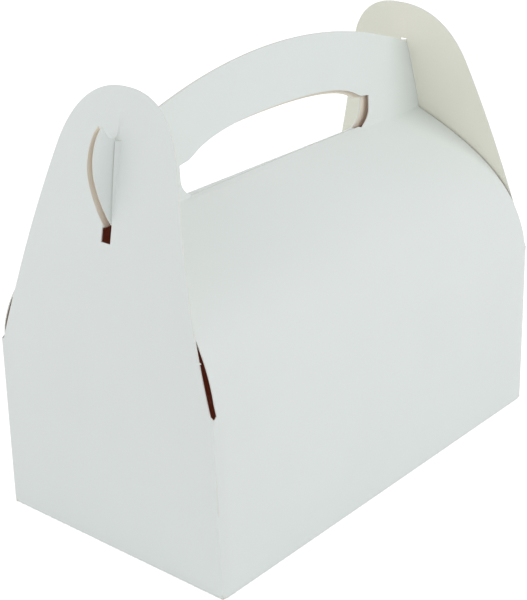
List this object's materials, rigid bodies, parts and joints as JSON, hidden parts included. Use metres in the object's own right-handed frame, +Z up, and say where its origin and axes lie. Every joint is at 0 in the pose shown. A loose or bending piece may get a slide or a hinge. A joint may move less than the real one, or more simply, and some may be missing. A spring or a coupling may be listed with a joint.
{
  "type": "gable carry box",
  "caption": "Plain white folded paperboard carry box with a gable roof, a cut-out handle and hinged end flaps that hook on to its tabs.",
  "frame": {"origin": "centre of the box's rectangular base, on the plane it stands on", "axes": "+X along the box from end flap to end flap, +Y across it, +Z up towards the handle"},
  "size_m": [0.2332, 0.128, 0.2016],
  "materials": {
    "board_outside": "satin coated white board, uncoated cream on its inner face",
    "flap_board": "satin coated white board, uncoated cream on its inner face"
  },
  "bodies": {
    "carton": {"carton_sheet": "board_outside"},
    "flap_left": {"end_flap_left": "flap_board"},
    "flap_right": {"end_flap_right": "flap_board"}
  },
  "joints": [
    {"name": "flap_left_crease", "type": "hinge", "parent": "carton", "child": "flap_left", "pos_m": [-0.1166, 0, 0.0833], "axis": [0, -1, 0], "range_deg": [0, 110]},
    {"name": "flap_right_crease", "type": "hinge", "parent": "carton", "child": "flap_right", "pos_m": [0.1166, 0, 0.0833], "axis": [0, 1, 0], "range_deg": [0, 110]}
  ]
}
